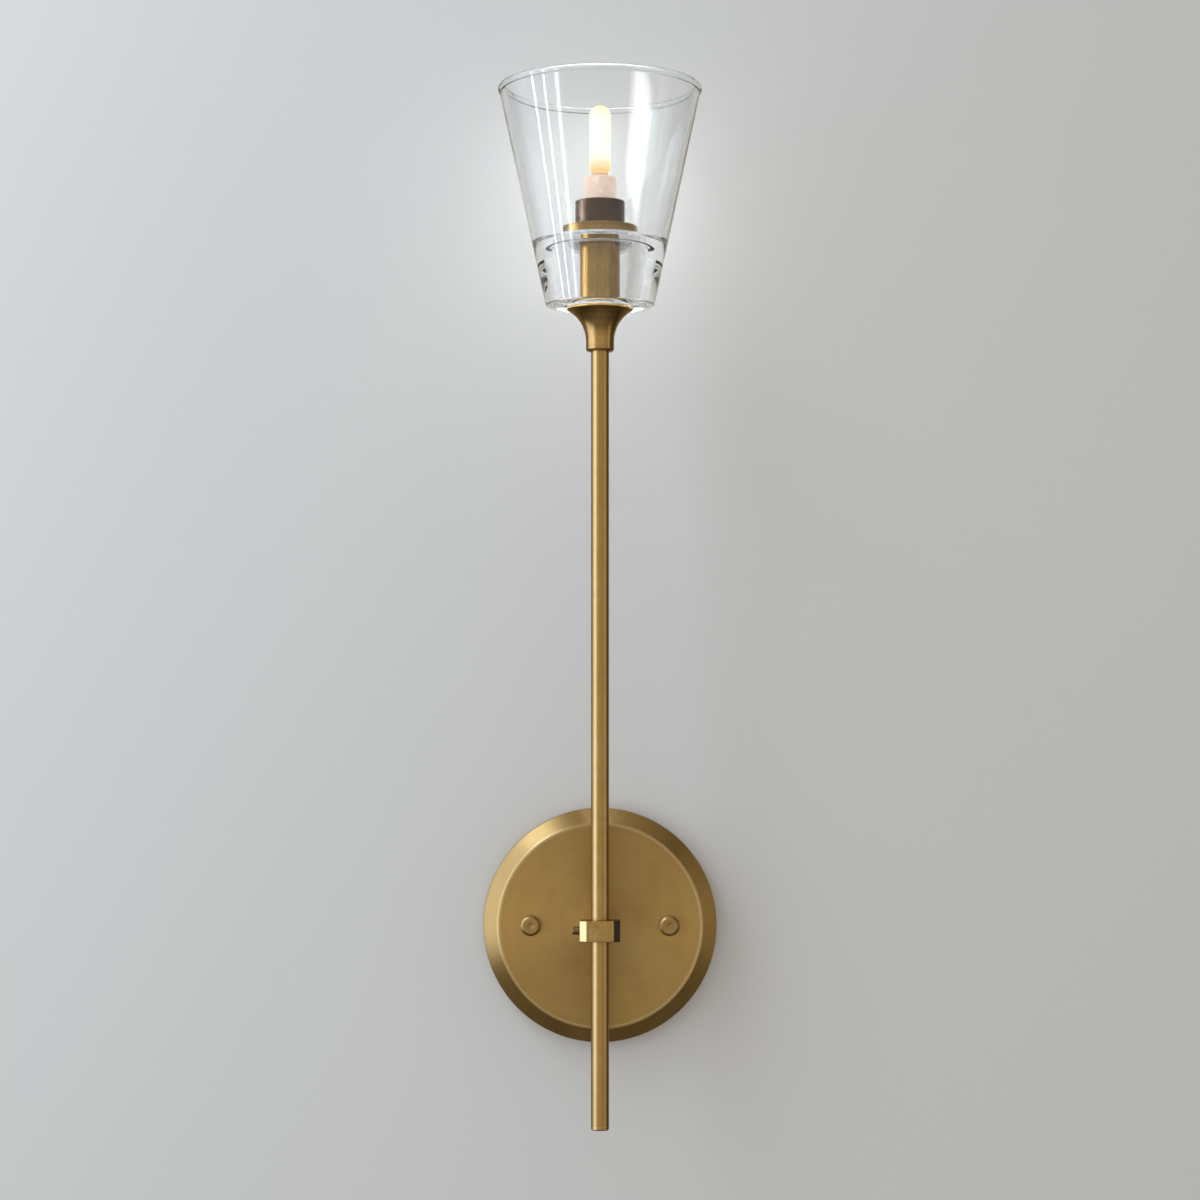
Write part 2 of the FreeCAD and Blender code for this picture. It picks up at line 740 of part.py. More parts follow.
pieces = {
    "mounting_strap": mounting_strap,
    "canopy_studs": canopy_studs,
    "stud_nuts": stud_nuts,
    "backplate": backplate,
    "cap_nut_left": lambda: cap_nut(-1),
    "cap_nut_right": lambda: cap_nut(1),
    "arm_tube": arm_tube,
    "arm_washer": arm_washer,
    "arm_lock_nut": arm_lock_nut,
    "ground_screw": ground_screw,
    "ground_lead": ground_lead,
    "terminal_block": terminal_block,
    "terminal_screws": terminal_screws,
    "clamp_block": clamp_block,
    "clamp_screw": clamp_screw,
    "rod_tube": rod_tube,
    "rod_end_plug": rod_end_plug,
    "rod_nipple": rod_nipple,
    "trumpet_cup": trumpet_cup,
    "socket_tube": socket_tube,
    "socket_lock_nut": socket_lock_nut,
    "lower_gasket": lower_gasket,
    "glass_shade": glass_shade,
    "upper_gasket": upper_gasket,
    "retaining_ring": retaining_ring,
    "lampholder_sleeve": lampholder_sleeve,
    "ceramic_lampholder": ceramic_lampholder,
    "lampholder_contacts": lampholder_contacts,
    "lamp_envelope": lamp_envelope,
    "lamp_base": lamp_base,
    "lamp_pins": lamp_pins,
    "lamp_filament": lamp_filament,
    "live_lead": live_lead,
    "neutral_lead": neutral_lead,
}

os.makedirs("parts", exist_ok=True)
for name, make in pieces.items():
    shape = make()
    if not shape.isValid():
        raise ValueError(name + " is not a valid shape")
    shape.exportStep("parts/" + name + ".step")
    print("%-20s solids %d volume %.1f" % (name, len(shape.Solids), shape.Volume))
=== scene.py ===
import math

import bmesh
import bpy
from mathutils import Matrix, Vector


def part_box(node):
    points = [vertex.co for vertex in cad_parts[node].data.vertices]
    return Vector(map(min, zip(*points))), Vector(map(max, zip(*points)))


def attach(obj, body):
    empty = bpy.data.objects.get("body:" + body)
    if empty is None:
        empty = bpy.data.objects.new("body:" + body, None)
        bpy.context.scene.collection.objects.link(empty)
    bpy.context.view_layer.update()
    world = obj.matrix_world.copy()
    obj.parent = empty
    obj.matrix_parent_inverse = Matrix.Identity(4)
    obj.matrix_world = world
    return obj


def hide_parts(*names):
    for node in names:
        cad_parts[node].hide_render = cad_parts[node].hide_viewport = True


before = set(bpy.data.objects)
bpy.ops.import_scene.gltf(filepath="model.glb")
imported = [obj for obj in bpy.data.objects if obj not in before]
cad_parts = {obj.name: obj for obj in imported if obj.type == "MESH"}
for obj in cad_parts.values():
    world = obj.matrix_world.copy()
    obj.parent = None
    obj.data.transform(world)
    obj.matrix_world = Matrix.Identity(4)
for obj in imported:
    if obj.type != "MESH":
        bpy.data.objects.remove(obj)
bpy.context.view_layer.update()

# ---- Mounting strap ----
# A cross of pressed steel strip, zinc plated, that two screws hold on the wall box.
# The zinc is a dull blue-grey with a faint spangle, and the rolling marks run along the strip.


def plain(srgb):
    """Linear colour from the 0 to 255 values that a paint card would give."""
    linear = [((c / 255 + 0.055) / 1.055) ** 2.4 if c > 10 else c / 255 / 12.92 for c in srgb]
    return (*linear, 1.0)


def put(tree, kind, how=None, **inputs):
    """One shader node with its inputs, by name with _ for a space, or by number as _0."""
    node = tree.nodes.new("ShaderNode" + kind)
    if how:
        node.operation = how
    for socket, value in inputs.items():
        key = int(socket[1:]) if socket[0] == "_" else socket.replace("_", " ")
        if isinstance(value, bpy.types.NodeSocket):
            tree.links.new(value, node.inputs[key])
        else:
            node.inputs[key].default_value = value
    return node


def sum_up(tree, how, first, second=0.5, third=0.5):
    """A Math node, which gives its result."""
    return put(tree, "Math", how, _0=first, _1=second, _2=third).outputs[0]


def spread(tree, value, low, high, to_low=0.0, to_high=1.0):
    """Value from the range low to high onto to_low to to_high, held at the ends."""
    node = put(tree, "MapRange", Value=value, From_Min=low, From_Max=high,
               To_Min=to_low, To_Max=to_high)
    return node.outputs[0]


def blend_colours(tree, share, first, second):
    """The first colour, and as much of the second as the share says."""
    node = tree.nodes.new("ShaderNodeMix")
    node.data_type = "RGBA"
    for index, value in ((0, share), (6, first), (7, second)):
        if isinstance(value, bpy.types.NodeSocket):
            tree.links.new(value, node.inputs[index])
        else:
            node.inputs[index].default_value = value
    return node.outputs[2]


def effect(name, takes, gives):
    """Empty node group with named sockets: the tree, its input node and its output node."""
    tree = bpy.data.node_groups.new(name, "ShaderNodeTree")
    for socket, kind in takes.items():
        tree.interface.new_socket(name=socket, in_out="INPUT", socket_type="NodeSocket" + kind)
    for socket, kind in gives.items():
        tree.interface.new_socket(name=socket, in_out="OUTPUT", socket_type="NodeSocket" + kind)
    return tree, tree.nodes.new("NodeGroupInput"), tree.nodes.new("NodeGroupOutput")


def use(tree, group, **inputs):
    """A node group placed in a material with its own values."""
    node = tree.nodes.new("ShaderNodeGroup")
    node.node_tree = group
    for socket, value in inputs.items():
        key = socket.replace("_", " ")
        if isinstance(value, bpy.types.NodeSocket):
            tree.links.new(value, node.inputs[key])
        else:
            node.inputs[key].default_value = value
    return node


# Cloudy change of tone, as on any metal or skin that has been handled and has aged.
cloudy_tone, cloudy_in, cloudy_out = effect(
    "cloudy tone",
    {"Place": "Vector", "Patches": "Float", "Light": "Color", "Middle": "Color", "Dark": "Color"},
    {"Colour": "Color", "Cloud": "Float"})
broad = put(cloudy_tone, "TexNoise", Vector=cloudy_in.outputs["Place"],
            Scale=cloudy_in.outputs["Patches"], Detail=3.0, Roughness=0.55, Distortion=0.4)
finer = put(cloudy_tone, "TexNoise", Vector=cloudy_in.outputs["Place"],
            Scale=sum_up(cloudy_tone, "MULTIPLY", cloudy_in.outputs["Patches"], 3.7), Detail=4.0)
lightened = blend_colours(cloudy_tone, spread(cloudy_tone, broad.outputs[0], 0.5, 0.72),
                          cloudy_in.outputs["Middle"], cloudy_in.outputs["Light"])
darkened = blend_colours(cloudy_tone, spread(cloudy_tone, finer.outputs[0], 0.5, 0.8, 0.0, 0.7),
                         lightened, cloudy_in.outputs["Dark"])
cloudy_tone.links.new(darkened, cloudy_out.inputs["Colour"])
cloudy_tone.links.new(broad.outputs[0], cloudy_out.inputs["Cloud"])

# Fine lines left along one direction by rolling, drawing or brushing.
# Stretch is small along the lines.
drawn_lines, drawn_in, drawn_out = effect(
    "drawn lines", {"Place": "Vector", "Stretch": "Vector"}, {"Lines": "Float", "Bands": "Float"})
stretched = put(drawn_lines, "VectorMath", "MULTIPLY", _0=drawn_in.outputs["Place"],
                _1=drawn_in.outputs["Stretch"])
hairlines = put(drawn_lines, "TexNoise", Vector=stretched.outputs[0], Scale=1.0, Detail=3.0,
                Roughness=0.7)
wide_bands = put(drawn_lines, "TexNoise", Vector=stretched.outputs[0], Scale=0.22, Detail=1.0)
drawn_lines.links.new(hairlines.outputs[0], drawn_out.inputs["Lines"])
drawn_lines.links.new(wide_bands.outputs[0], drawn_out.inputs["Bands"])


def finish_of(name, **fixed):
    """New material: its tree, its shader with fixed values, and the object coordinates."""
    material = bpy.data.materials.new(name)
    material.use_nodes = True
    tree = material.node_tree
    shader = tree.nodes["Principled BSDF"]
    for socket, value in fixed.items():
        shader.inputs[socket.replace("_", " ")].default_value = value
    place = tree.nodes.new("ShaderNodeTexCoord").outputs["Object"]
    return material, tree, shader, place


def relief(tree, shader, height, depth):
    """Bump from a height of 0 to 1 that is depth metres deep."""
    bump = put(tree, "Bump", Height=height, Distance=depth, Strength=1.0)
    tree.links.new(bump.outputs[0], shader.inputs["Normal"])


def dress(material, *nodes):
    """CAD nodes that keep their own shape take this material."""
    for name in nodes:
        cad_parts[name].material_slots[0].material = material


zinc, tree, shader, place = finish_of("zinc plated strip", Metallic=1.0)
tone = use(tree, cloudy_tone, Place=place, Patches=260.0, Light=plain((176, 180, 184)),
           Middle=plain((150, 155, 160)), Dark=plain((112, 117, 122)))
marks = use(tree, drawn_lines, Place=place, Stretch=(4000.0, 4000.0, 160.0))
tree.links.new(tone.outputs["Colour"], shader.inputs["Base Color"])
tree.links.new(spread(tree, marks.outputs["Lines"], 0.3, 0.7, 0.32, 0.5),
               shader.inputs["Roughness"])
relief(tree, shader, marks.outputs["Lines"], 0.00003)
dress(zinc, "mounting_strap", "stud_nuts", "arm_washer")

# The two studs are cut with a coarse thread over their whole length, and stand in for the
# plain CAD studs. turn_form is one turn of the thread: share of the pitch, and radius.
stud_low, stud_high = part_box("canopy_studs")
stud_radius = (stud_high.z - stud_low.z) / 2
thread_depth = 0.00036
stud_root = stud_radius - thread_depth
thread_pitch = 0.0007
weld_distance = 1e-6
round_steps = 20
turn_form = ((0.0, stud_root), (0.3, stud_radius), (0.45, stud_radius), (0.75, stud_root))
stud_length = stud_high.y - stud_low.y
turns = math.ceil(stud_length / thread_pitch) + 2
stud_mesh = bmesh.new()
for stud_x in (stud_low.x + stud_radius, stud_high.x - stud_radius):
    columns = []
    for step in range(round_steps):
        angle = 2 * math.pi * step / round_steps
        column = []
        for turn in range(turns):
            for share, radius in turn_form:
                along = (turn - 1 + share + step / round_steps) * thread_pitch
                if not 0 < along < stud_length:
                    along, radius = min(max(along, 0), stud_length), stud_root
                column.append(stud_mesh.verts.new((stud_x + radius * math.cos(angle), -along,
                                                   radius * math.sin(angle))))
        columns.append(column)
    for step, column in enumerate(columns):
        lead = len(turn_form) if step == round_steps - 1 else 0
        beside = columns[(step + 1) % round_steps]
        for row in range(len(column) - 1 - lead):
            stud_mesh.faces.new((column[row], column[row + 1],
                                 beside[row + 1 + lead], beside[row + lead]))
bmesh.ops.remove_doubles(stud_mesh, verts=stud_mesh.verts, dist=weld_distance)
bmesh.ops.dissolve_degenerate(stud_mesh, edges=stud_mesh.edges, dist=weld_distance)
bmesh.ops.holes_fill(stud_mesh, edges=stud_mesh.edges, sides=0)
bmesh.ops.recalc_face_normals(stud_mesh, faces=stud_mesh.faces)
stud_data = bpy.data.meshes.new("threaded_studs")
stud_mesh.to_mesh(stud_data)
stud_mesh.free()
studs = bpy.data.objects.new("threaded_studs", stud_data)
bpy.context.scene.collection.objects.link(studs)
stud_data.materials.append(zinc)
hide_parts("canopy_studs")
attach(studs, "fixture")

# ---- Terminal block ----
# Two-way block moulded in off-white plastic, screwed on the strap's lower arm.
# Its four slotted screws are plain brass, and clamp the lamp's leads to the house wires.
moulded, tree, shader, place = finish_of("moulded terminal plastic", Roughness=0.45)
tone = use(tree, cloudy_tone, Place=place, Patches=300.0, Light=plain((226, 224, 214)),
           Middle=plain((216, 213, 202)), Dark=plain((196, 192, 180)))
tree.links.new(tone.outputs["Colour"], shader.inputs["Base Color"])
grain = put(tree, "TexNoise", Vector=place, Scale=5000.0, Detail=2.0)
relief(tree, shader, grain.outputs[0], 0.00002)
dress(moulded, "terminal_block")

turned_brass, tree, shader, place = finish_of("plain turned brass", Metallic=1.0)
tone = use(tree, cloudy_tone, Place=place, Patches=500.0, Light=plain((226, 196, 128)),
           Middle=plain((205, 172, 104)), Dark=plain((168, 132, 70)))
tree.links.new(tone.outputs["Colour"], shader.inputs["Base Color"])
tree.links.new(spread(tree, tone.outputs["Cloud"], 0.3, 0.7, 0.2, 0.34), shader.inputs["Roughness"])
dress(turned_brass, "terminal_screws", "arm_lock_nut", "rod_nipple", "socket_lock_nut",
      "lampholder_contacts")

# ---- Earth screw and lead ----
# A green dyed steel screw in the strap, and a green insulated copper wire with tinned eyes
# that ties the arm to the strap.
green, tree, shader, place = finish_of("green dyed steel", Metallic=0.85)
tone = use(tree, cloudy_tone, Place=place, Patches=600.0, Light=plain((70, 150, 84)),
           Middle=plain((44, 120, 62)), Dark=plain((24, 80, 40)))
tree.links.new(tone.outputs["Colour"], shader.inputs["Base Color"])
tree.links.new(spread(tree, tone.outputs["Cloud"], 0.3, 0.7, 0.25, 0.45),
               shader.inputs["Roughness"])
dress(green, "ground_screw")

# One eye of the lead lies under the arm's nut, and the other under the screw.
earth, tree, shader, place = finish_of("green insulation")
tone = use(tree, cloudy_tone, Place=place, Patches=400.0, Light=plain((64, 152, 72)),
           Middle=plain((48, 130, 58)), Dark=plain((34, 100, 44)))
arm_eye_end = 0.0105
screw_eye_end = 0.0312
screw_eye_front = -0.00285
eye_place = put(tree, "SeparateXYZ", Vector=place)
at_arm = sum_up(tree, "LESS_THAN", eye_place.outputs[0], arm_eye_end)
at_screw = sum_up(tree, "MULTIPLY", sum_up(tree, "LESS_THAN", eye_place.outputs[0], screw_eye_end),
                  sum_up(tree, "GREATER_THAN", eye_place.outputs[1], screw_eye_front))
tinned = sum_up(tree, "MAXIMUM", at_arm, at_screw)
tin = use(tree, cloudy_tone, Place=place, Patches=700.0, Light=plain((206, 207, 204)),
          Middle=plain((186, 187, 184)), Dark=plain((150, 150, 147)))
tree.links.new(blend_colours(tree, tinned, tone.outputs["Colour"], tin.outputs["Colour"]),
               shader.inputs["Base Color"])
tree.links.new(tinned, shader.inputs["Metallic"])
tree.links.new(spread(tree, tinned, 0.0, 1.0, 0.42, 0.3), shader.inputs["Roughness"])
dress(earth, "ground_lead")

# ---- Wall plate, arm and cap nuts ----
# A dish spun in brass sheet with a bevelled border, then aged to a cloudy olive gold and waxed.
# Two low round cap nuts on the strap's studs hold it, and the arm is screwed through its centre.

# Fine rings left by a lathe or a spinning tool round the Z axis of Place.
lathe_rings, lathe_in, lathe_out = effect(
    "lathe rings", {"Place": "Vector", "Rings": "Float"}, {"Lines": "Float", "Bands": "Float"})
across = put(lathe_rings, "SeparateXYZ", Vector=lathe_in.outputs["Place"])
radius = sum_up(lathe_rings, "SQRT", sum_up(
    lathe_rings, "MULTIPLY_ADD", across.outputs[0], across.outputs[0],
    sum_up(lathe_rings, "MULTIPLY", across.outputs[1], across.outputs[1])))
profile = put(lathe_rings, "CombineXYZ", X=radius, Y=across.outputs[2])
ring_place = put(lathe_rings, "VectorMath", "SCALE", _0=profile.outputs[0],
                 Scale=lathe_in.outputs["Rings"])
ring_lines = put(lathe_rings, "TexNoise", Vector=ring_place.outputs[0], Scale=1.0, Detail=3.0,
                 Roughness=0.7)
ring_bands = put(lathe_rings, "TexNoise", Vector=ring_place.outputs[0], Scale=0.12, Detail=2.0)
lathe_rings.links.new(ring_lines.outputs[0], lathe_out.inputs["Lines"])
lathe_rings.links.new(ring_bands.outputs[0], lathe_out.inputs["Bands"])

# Where a corner has been handled, the patina is rubbed through to brighter metal.
rubbed_edge, rubbed_in, rubbed_out = effect("rubbed edge", {"Width": "Float"}, {"Rub": "Float"})
softened = put(rubbed_edge, "Bevel", Radius=rubbed_in.outputs["Width"])
softened.samples = 6
facing = rubbed_edge.nodes.new("ShaderNodeNewGeometry")
agree = put(rubbed_edge, "VectorMath", "DOT_PRODUCT", _0=softened.outputs[0],
            _1=facing.outputs["Normal"])
still_flat = 0.995
on_the_edge = 0.9
rubbed_edge.links.new(spread(rubbed_edge, agree.outputs["Value"], still_flat, on_the_edge),
                      rubbed_out.inputs["Rub"])

brass_light = plain((212, 180, 114))
brass_middle = plain((192, 154, 84))
brass_dark = plain((162, 124, 58))
brass_shadow = plain((116, 84, 34))
brass_rubbed = plain((220, 194, 136))


def aged_brass(name, patches, smooth, rough, rings=0.0, axis_turn=(0.0, 0.0, 0.0),
               axis_point=(0.0, 0.0, 0.0), stretch=None, rub=0.0006, streaks=0.3,
               groove=0.000006, wax=0.3, clouds=1.0, shade=0.0):
    """Aged and waxed brass.

    Rings follow a lathe's axis, and a stretch gives lines along the piece instead. Smooth and
    rough are the ends of its roughness, rub is how wide an edge is rubbed bright, wax is the
    coat's roughness, and shade is how far the whole piece has darkened.
    """
    material, tree, shader, place = finish_of(
        name, Metallic=1.0, Coat_Weight=0.5, Coat_Roughness=wax, Coat_IOR=1.9,
        Specular_Tint=plain((176, 140, 92)))
    tone = use(tree, cloudy_tone, Place=place, Patches=patches, Light=brass_light,
               Middle=brass_middle, Dark=brass_dark)
    if stretch:
        marks = use(tree, drawn_lines, Place=place, Stretch=stretch)
    else:
        turned_place = put(tree, "Mapping", Vector=place, Location=axis_point, Rotation=axis_turn)
        marks = use(tree, lathe_rings, Place=turned_place.outputs[0], Rings=rings)
    even = blend_colours(tree, clouds, brass_middle, tone.outputs["Colour"])
    darker = spread(tree, marks.outputs["Bands"], 0.45, 0.75, shade, shade + streaks)
    banded = blend_colours(tree, darker, even, brass_shadow)
    streaked = blend_colours(tree, spread(tree, marks.outputs["Lines"], 0.5, 0.75, 0.0, streaks),
                             banded, brass_light)
    edge = use(tree, rubbed_edge, Width=rub)
    worn = blend_colours(tree, sum_up(tree, "MULTIPLY", edge.outputs["Rub"], 0.6), streaked,
                         brass_rubbed)
    tree.links.new(worn, shader.inputs["Base Color"])
    dull = sum_up(tree, "MULTIPLY_ADD", marks.outputs["Lines"], 0.4,
                  sum_up(tree, "MULTIPLY", tone.outputs["Cloud"], 0.6))
    tree.links.new(spread(tree, dull, 0.35, 0.65, smooth, rough), shader.inputs["Roughness"])
    relief(tree, shader, marks.outputs["Lines"], groove)
    return material


toward_front = (math.radians(90), 0.0, 0.0)
# Its rubbed edges are wider than on other pieces: partly wear, partly a painted highlight along
# them.
spun_plate = aged_brass("aged brass, spun plate", 14.0, 0.36, 0.43, rings=900.0,
                        axis_turn=toward_front, rub=0.0018, streaks=0.1, groove=0.000003,
                        clouds=0.55)
spun_shader = spun_plate.node_tree.nodes["Principled BSDF"]
spun_shader.inputs["Anisotropic"].default_value = 0.8
spun_shader.inputs["Anisotropic Rotation"].default_value = 0.25
round_about = spun_plate.node_tree.nodes.new("ShaderNodeTangent")
round_about.direction_type, round_about.axis = "RADIAL", "Y"
spun_plate.node_tree.links.new(round_about.outputs[0], spun_shader.inputs["Tangent"])
# A painted highlight: a lighter ring along the border of the round face, where its edge catches
# light.
tree = spun_plate.node_tree
face_radius = 0.065
border_width = 0.0016
border_highlight_share = 0.6
from_middle = put(tree, "SeparateXYZ", Vector=tree.nodes["Texture Coordinate"].outputs["Object"])
out_from_middle = sum_up(tree, "SQRT", sum_up(
    tree, "MULTIPLY_ADD", from_middle.outputs[0], from_middle.outputs[0],
    sum_up(tree, "MULTIPLY", from_middle.outputs[2], from_middle.outputs[2])))
off_border = sum_up(tree, "ABSOLUTE", sum_up(tree, "SUBTRACT", out_from_middle, face_radius))
painted_border_highlight = spread(tree, off_border, 0.0, border_width, border_highlight_share, 0.0)
spun_tone = spun_shader.inputs["Base Color"].links[0].from_socket
tree.links.new(blend_colours(tree, painted_border_highlight, spun_tone, plain((240, 214, 160))),
               spun_shader.inputs["Base Color"])
dress(spun_plate, "backplate")
arm_brass = aged_brass("aged brass, turned arm", 60.0, 0.4, 0.5, rings=2500.0,
                       axis_turn=toward_front, streaks=0.15, rub=0.0003)
dress(arm_brass, "arm_tube")
cap_brass = aged_brass("aged brass, turned cap nut", 90.0, 0.44, 0.52, rings=2500.0,
                       axis_turn=toward_front, streaks=0.15, rub=0.0002, shade=0.2)
dress(cap_brass, "cap_nut_left", "cap_nut_right")

# ---- Clamp block and screw ----
# A chamfered brass block, milled and brushed level, that grips the rod and is screwed on the arm.
# A small slotted screw at the left holds the rod.
milled = aged_brass("aged brass, milled block", 70.0, 0.25, 0.38,
                    stretch=(3000.0, 3000.0, 150.0), streaks=0.2, shade=0.08)
block_low, block_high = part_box("clamp_block")
chamfer_from = 0.0043
chamfer_to = 0.0037
right_shade_share = 0.93
highlight_and_polish_share = 0.85
polish_smooths = 0.55
tree = milled.node_tree
shader = tree.nodes["Principled BSDF"]
block_place = put(tree, "SeparateXYZ", Vector=tree.nodes["Texture Coordinate"].outputs["Object"])
side_way = block_place.outputs[0]
# Painted shade darkens the right chamfer; a painted highlight lightens the smoother left one.
right_painted_shade = spread(tree, side_way, block_high.x - chamfer_from, block_high.x - chamfer_to,
                 0.0, right_shade_share)
left_highlight_and_polish = spread(tree, side_way, block_low.x + chamfer_from, block_low.x + chamfer_to,
                0.0, highlight_and_polish_share)
milled_tone = shader.inputs["Base Color"].links[0].from_socket
right_shaded_tone = blend_colours(tree, right_painted_shade, milled_tone, plain((46, 31, 12)))
tree.links.new(blend_colours(tree, left_highlight_and_polish, right_shaded_tone, plain((230, 205, 144))),
               shader.inputs["Base Color"])
brushed = shader.inputs["Roughness"].links[0].from_socket
smoothed = sum_up(tree, "MULTIPLY_ADD", left_highlight_and_polish, -polish_smooths, 1.0)
tree.links.new(sum_up(tree, "MULTIPLY", brushed, smoothed), shader.inputs["Roughness"])
dress(milled, "clamp_block")

screw_brass = aged_brass("aged brass, darkened screw", 300.0, 0.4, 0.52, rings=3000.0,
                         axis_turn=(0.0, math.radians(90), 0.0))
tree = screw_brass.node_tree
shader = tree.nodes["Principled BSDF"]
aged_tone = shader.inputs["Base Color"].links[0].from_socket
tree.links.new(blend_colours(tree, 0.6, aged_tone, plain((72, 56, 26))),
               shader.inputs["Base Color"])
dress(screw_brass, "clamp_screw")

# ---- Rod ----
# Long drawn brass tube, brushed along its length, with a turned plug in its lower end.
# The clamp block holds it, and the lamp's leads run inside it.
drawn = aged_brass("aged brass, drawn rod", 40.0, 0.28, 0.38, stretch=(1600.0, 1600.0, 6.0),
                   streaks=0.26, wax=0.16, clouds=0.45, shade=0.1)
dress(drawn, "rod_tube", "rod_end_plug")

# ---- Flared cup, socket tube and ring ----
# The cup is turned from brass bar and screwed on the rod. The drawn tube stands in it and passes
# through the bore of the glass, and the turned ring is screwed down over the glass base.
rod_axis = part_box("rod_tube")[0].lerp(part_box("rod_tube")[1], 0.5)
on_rod_axis = (0.0, -rod_axis.y, 0.0)
cup_brass = aged_brass("aged brass, turned cup", 55.0, 0.24, 0.36, rings=2600.0,
                       axis_point=on_rod_axis, rub=0.0003, wax=0.18, clouds=0.7)
dress(cup_brass, "trumpet_cup")
ring_brass = aged_brass("aged brass, turned ring", 55.0, 0.24, 0.36, rings=2600.0,
                        axis_point=on_rod_axis, rub=0.0003, wax=0.18, clouds=0.7, shade=0.55)
dress(ring_brass, "retaining_ring")
tube_brass = aged_brass("aged brass, drawn socket tube", 45.0, 0.2, 0.3,
                        stretch=(1400.0, 1400.0, 12.0), wax=0.15, clouds=0.6, shade=0.3)
dress(tube_brass, "socket_tube")

# ---- Gaskets ----
# Clear silicone washers, moulded and a little cloudy, under and over the glass base.
# They keep the brass off the glass.
silicone, tree, shader, place = finish_of("clear silicone", Transmission_Weight=0.55, IOR=1.41)
tone = use(tree, cloudy_tone, Place=place, Patches=300.0, Light=plain((248, 250, 250)),
           Middle=plain((240, 244, 244)), Dark=plain((226, 232, 232)))
tree.links.new(tone.outputs["Colour"], shader.inputs["Base Color"])
tree.links.new(spread(tree, tone.outputs["Cloud"], 0.3, 0.7, 0.25, 0.4), shader.inputs["Roughness"])
dress(silicone, "lower_gasket", "upper_gasket")

# ---- Glass shade ----
# Clear pressed glass, fire polished: a cone with a rounded lip, a thin wall and a thick base.
# Pressing leaves a slow ripple in the wall, and handling leaves a faint haze.


def lit_through(tree, shader):
    """Light from the lamps passes the glass, so that what stands inside is lit."""
    path = tree.nodes.new("ShaderNodeLightPath")
    clear = tree.nodes.new("ShaderNodeBsdfTransparent")
    both = put(tree, "MixShader", _0=path.outputs["Is Shadow Ray"], _1=shader.outputs[0],
               _2=clear.outputs[0])
    tree.links.new(both.outputs[0], tree.nodes["Material Output"].inputs["Surface"])


glass, tree, shader, place = finish_of("clear pressed glass", Transmission_Weight=1.0, IOR=1.5)
tone = use(tree, cloudy_tone, Place=place, Patches=30.0, Light=plain((254, 255, 255)),
           Middle=plain((252, 253, 253)), Dark=plain((248, 250, 250)))
tree.links.new(tone.outputs["Colour"], shader.inputs["Base Color"])
tree.links.new(spread(tree, tone.outputs["Cloud"], 0.5, 0.8, 0.0, 0.02), shader.inputs["Roughness"])
ripple = put(tree, "TexNoise", Vector=place, Scale=30.0, Detail=0.0)
relief(tree, shader, ripple.outputs[0], 0.00012)
lit_through(tree, shader)
dress(glass, "glass_shade")

# ---- Lampholder ----
# A dark bronzed sleeve screwed on the tube holds a pale ceramic insert, pressed and fired.
# Its upper end has a painted glow, an emission in place of the lit lamp's warm light on it.
bronzed, tree, shader, place = finish_of(
    "dark bronzed sleeve", Metallic=0.8, Coat_Weight=0.3, Coat_Roughness=0.25, Coat_IOR=1.6)
tone = use(tree, cloudy_tone, Place=place, Patches=120.0, Light=plain((96, 70, 50)),
           Middle=plain((62, 45, 33)), Dark=plain((34, 25, 20)))
tree.links.new(tone.outputs["Colour"], shader.inputs["Base Color"])
tree.links.new(spread(tree, tone.outputs["Cloud"], 0.3, 0.7, 0.3, 0.4), shader.inputs["Roughness"])
dress(bronzed, "lampholder_sleeve")

fired, tree, shader, place = finish_of("fired ceramic", Roughness=0.5)
tone = use(tree, cloudy_tone, Place=place, Patches=160.0, Light=plain((236, 219, 207)),
           Middle=plain((226, 200, 182)), Dark=plain((208, 172, 148)))
tree.links.new(tone.outputs["Colour"], shader.inputs["Base Color"])
pores = put(tree, "TexNoise", Vector=place, Scale=2600.0, Detail=2.0)
relief(tree, shader, pores.outputs[0], 0.00003)
# Painted light: emission makes the insert glow warm towards its upper end.
ceramic_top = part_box("ceramic_lampholder")[1].z
painted_glow_reach = 0.016
painted_lamp_glow = spread(tree, put(tree, "SeparateXYZ", Vector=place).outputs[2],
                   ceramic_top - painted_glow_reach, ceramic_top)
tree.links.new(blend_colours(tree, painted_lamp_glow, (0.0, 0.0, 0.0, 1.0), plain((74, 42, 28))),
               shader.inputs["Emission Color"])
shader.inputs["Emission Strength"].default_value = 1.0
dress(fired, "ceramic_lampholder")

# ---- Lamp ----
# Plug-in capsule lamp, lit: a frosted glass envelope over a pressed foot with two pins of looped
# wire. It shines white at the middle, amber at its foot, and yellower at its dome and rims.
capsule_low, capsule_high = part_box("lamp_envelope")
amber_length = 0.0105
dome_length = 0.009
frosted, tree, shader, place = finish_of("frosted capsule, lit", Roughness=0.4,
                                         Emission_Strength=1.0)
height = put(tree, "SeparateXYZ", Vector=place).outputs[2]
warm_foot = spread(tree, height, capsule_low.z, capsule_low.z + amber_length)
glow = blend_colours(tree, warm_foot, plain((255, 196, 112)), plain((255, 253, 240)))
rim = put(tree, "LayerWeight", Blend=0.35).outputs["Facing"]
halo = blend_colours(tree, spread(tree, rim, 0.3, 0.95, 0.0, 0.7), glow, plain((255, 242, 182)))
in_dome = spread(tree, height, capsule_high.z - dome_length, capsule_high.z, 0.0, 0.75)
dome = blend_colours(tree, in_dome, halo, plain((255, 244, 170)))
tree.links.new(dome, shader.inputs["Emission Color"])
tree.links.new(blend_colours(tree, warm_foot, plain((120, 96, 70)), plain((110, 108, 96))),
               shader.inputs["Base Color"])
dress(frosted, "lamp_envelope")

